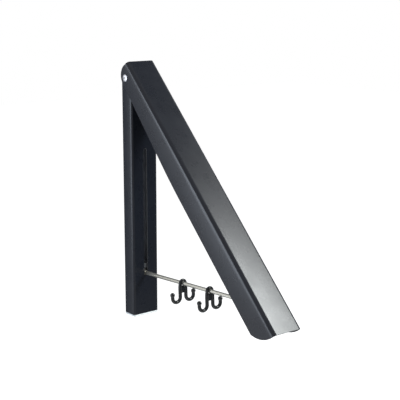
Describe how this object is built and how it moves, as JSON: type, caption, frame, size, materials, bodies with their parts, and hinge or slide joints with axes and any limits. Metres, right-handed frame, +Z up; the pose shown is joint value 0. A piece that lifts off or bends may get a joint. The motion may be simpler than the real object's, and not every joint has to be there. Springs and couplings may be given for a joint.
{
  "type": "wall mounted clothes valet",
  "caption": "Folding wall mounted clothes valet: a channel base screwed to the wall, a hinged channel arm, and a hanging rod with sliding double hooks that folds up inside the arm.",
  "frame": {"origin": "on the wall plane, half way between the two wall screws", "axes": "+Z up along the base, +Y into the wall, so the valet stands out towards -Y, and +X to the right of someone who faces the wall"},
  "size_m": [0.0466, 0.2995, 0.3438],
  "materials": {
    "base_paint": "satin powder coat, charcoal",
    "arm_paint": "satin powder coat, charcoal, brighter at grazing angles",
    "hook_enamel": "glossy enamel, near black",
    "rod_chrome": "polished",
    "rivet_steel": "polished stainless",
    "zinc_steel": "zinc plated",
    "nylon": "natural nylon",
    "slider_nylon": "dark nylon",
    "cap_plastic": "translucent milky plastic"
  },
  "bodies": {
    "base": {"base_shell": "base_paint", "bottom_cap": "cap_plastic", "upper_wall_bracket": "zinc_steel", "lower_wall_bracket": "zinc_steel", "track_left": "slider_nylon", "track_right": "slider_nylon", "hinge_rivet": "rivet_steel", "hinge_sleeve": "zinc_steel", "washer_left": "nylon", "washer_right": "nylon"},
    "arm": {"arm_shell": "arm_paint", "pivot_bracket": "zinc_steel", "rod_pivot_pin": "rivet_steel", "pivot_spacers": "nylon"},
    "rod": {"hanger_rod": "rod_chrome", "trunnion_pin": "zinc_steel", "trunnion_spacers": "nylon"},
    "slider": {"slider_block": "slider_nylon"},
    "inner_hook": {"hook_inner": "hook_enamel"},
    "outer_hook": {"hook_outer": "hook_enamel"}
  },
  "joints": [
    {"name": "arm_fold", "type": "hinge", "parent": "base", "child": "arm", "pos_m": [0, -0.0096, 0.168], "axis": [1, 0, 0], "range_deg": [0, 41]},
    {"name": "rod_fold", "type": "hinge", "parent": "arm", "child": "rod", "pos_m": [0, -0.26878, -0.08299], "axis": [1, 0, 0], "range_deg": [0, 45.53]},
    {"name": "slider_travel", "type": "slide", "parent": "base", "child": "slider", "axis": [0, 0, 1], "range_m": [0, 0.16007]},
    {"name": "inner_hook_slide", "type": "slide", "parent": "rod", "child": "inner_hook", "axis": [0, -0.9987, 0.0506], "range_m": [0, 0.14001]},
    {"name": "outer_hook_slide", "type": "slide", "parent": "rod", "child": "outer_hook", "axis": [0, -0.9987, 0.0506], "range_m": [0, 0.09701]}
  ],
  "couplings": [
    {"joint": "rod_fold", "follows": "arm_fold", "ratio": 1.1104},
    {"joint": "slider_travel", "follows": "arm_fold", "m_per_rad": 0.22368},
    {"joint": "inner_hook_slide", "follows": "arm_fold", "m_per_rad": 0.19564},
    {"joint": "outer_hook_slide", "follows": "arm_fold", "m_per_rad": 0.13555}
  ]
}
